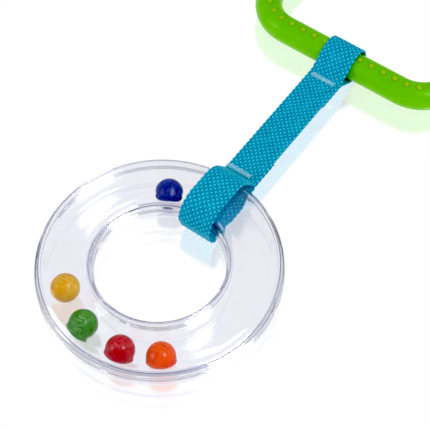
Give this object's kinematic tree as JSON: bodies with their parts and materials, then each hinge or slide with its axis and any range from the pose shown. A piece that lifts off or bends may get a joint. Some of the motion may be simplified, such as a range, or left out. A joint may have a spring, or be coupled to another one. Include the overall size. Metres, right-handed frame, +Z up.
{
  "type": "baby rattle",
  "caption": "Clear ring-shaped rattle with loose balls sealed inside, tied by a flat webbing strap to a soft round-bar teething frame.",
  "frame": {"origin": "under the middle of the whole object, on the surface it lies on", "axes": "+X along the strap from the ring to the teether, +Y across the strap, +Z up"},
  "size_m": [0.2862, 0.1084, 0.02],
  "materials": {
    "clear_shell": "clear, polished",
    "ball_blue": "polished",
    "ball_yellow": "polished",
    "ball_green": "polished",
    "ball_red": "polished",
    "ball_orange": "polished",
    "webbing": "woven",
    "thread": "stitched thread",
    "teether": "soft, satin gloss"
  },
  "bodies": {
    "ring": {"ring_upper_shell": "clear_shell", "ring_lower_shell": "clear_shell"},
    "blue": {"ball_blue": "ball_blue"},
    "yellow": {"ball_yellow": "ball_yellow"},
    "green": {"ball_green": "ball_green"},
    "red": {"ball_red": "ball_red"},
    "orange": {"ball_orange": "ball_orange"},
    "loop": {"ring_loop": "webbing", "ring_tack": "thread"},
    "strap_near": {"strap_inner": "webbing"},
    "strap_far": {"strap_outer": "webbing"},
    "teether_end": {"teether_loop": "webbing", "teether_tack": "thread"},
    "teether": {"teether": "teether"}
  },
  "joints": [
    {"name": "blue_roll", "type": "hinge", "parent": "ring", "child": "blue", "pos_m": [-0.0931, 0, 0.01], "axis": [0, 0, 1], "continuous": true},
    {"name": "yellow_roll", "type": "hinge", "parent": "blue", "child": "yellow", "pos_m": [-0.0931, 0, 0.01], "axis": [0, 0, 1], "range_deg": [-90, 38]},
    {"name": "green_roll", "type": "hinge", "parent": "yellow", "child": "green", "pos_m": [-0.0931, 0, 0.01], "axis": [0, 0, 1], "range_deg": [-9, 38]},
    {"name": "red_roll", "type": "hinge", "parent": "green", "child": "red", "pos_m": [-0.0931, 0, 0.01], "axis": [0, 0, 1], "range_deg": [-9, 38]},
    {"name": "orange_roll", "type": "hinge", "parent": "red", "child": "orange", "pos_m": [-0.0931, 0, 0.01], "axis": [0, 0, 1], "range_deg": [-6, 38]},
    {"name": "loop_slide", "type": "hinge", "parent": "ring", "child": "loop", "pos_m": [-0.0931, 0, 0.01], "axis": [0, 0, 1], "continuous": true},
    {"name": "ring_flex", "type": "hinge", "parent": "loop", "child": "strap_near", "pos_m": [-0.0207, 0, 0.00865], "axis": [0, -1, 0], "range_deg": [-60, 60]},
    {"name": "strap_twist", "type": "hinge", "parent": "strap_near", "child": "strap_far", "pos_m": [-0.0051, 0, 0.00865], "axis": [1, 0, 0], "range_deg": [-90, 90]},
    {"name": "teether_flex", "type": "hinge", "parent": "strap_far", "child": "teether_end", "pos_m": [0.0107, 0, 0.00865], "axis": [0, -1, 0], "range_deg": [-60, 60]},
    {"name": "teether_swing", "type": "hinge", "parent": "teether_end", "child": "teether", "pos_m": [0.0409, 0, 0.0083], "axis": [0, -1, 0], "range_deg": [-75, 75]}
  ]
}
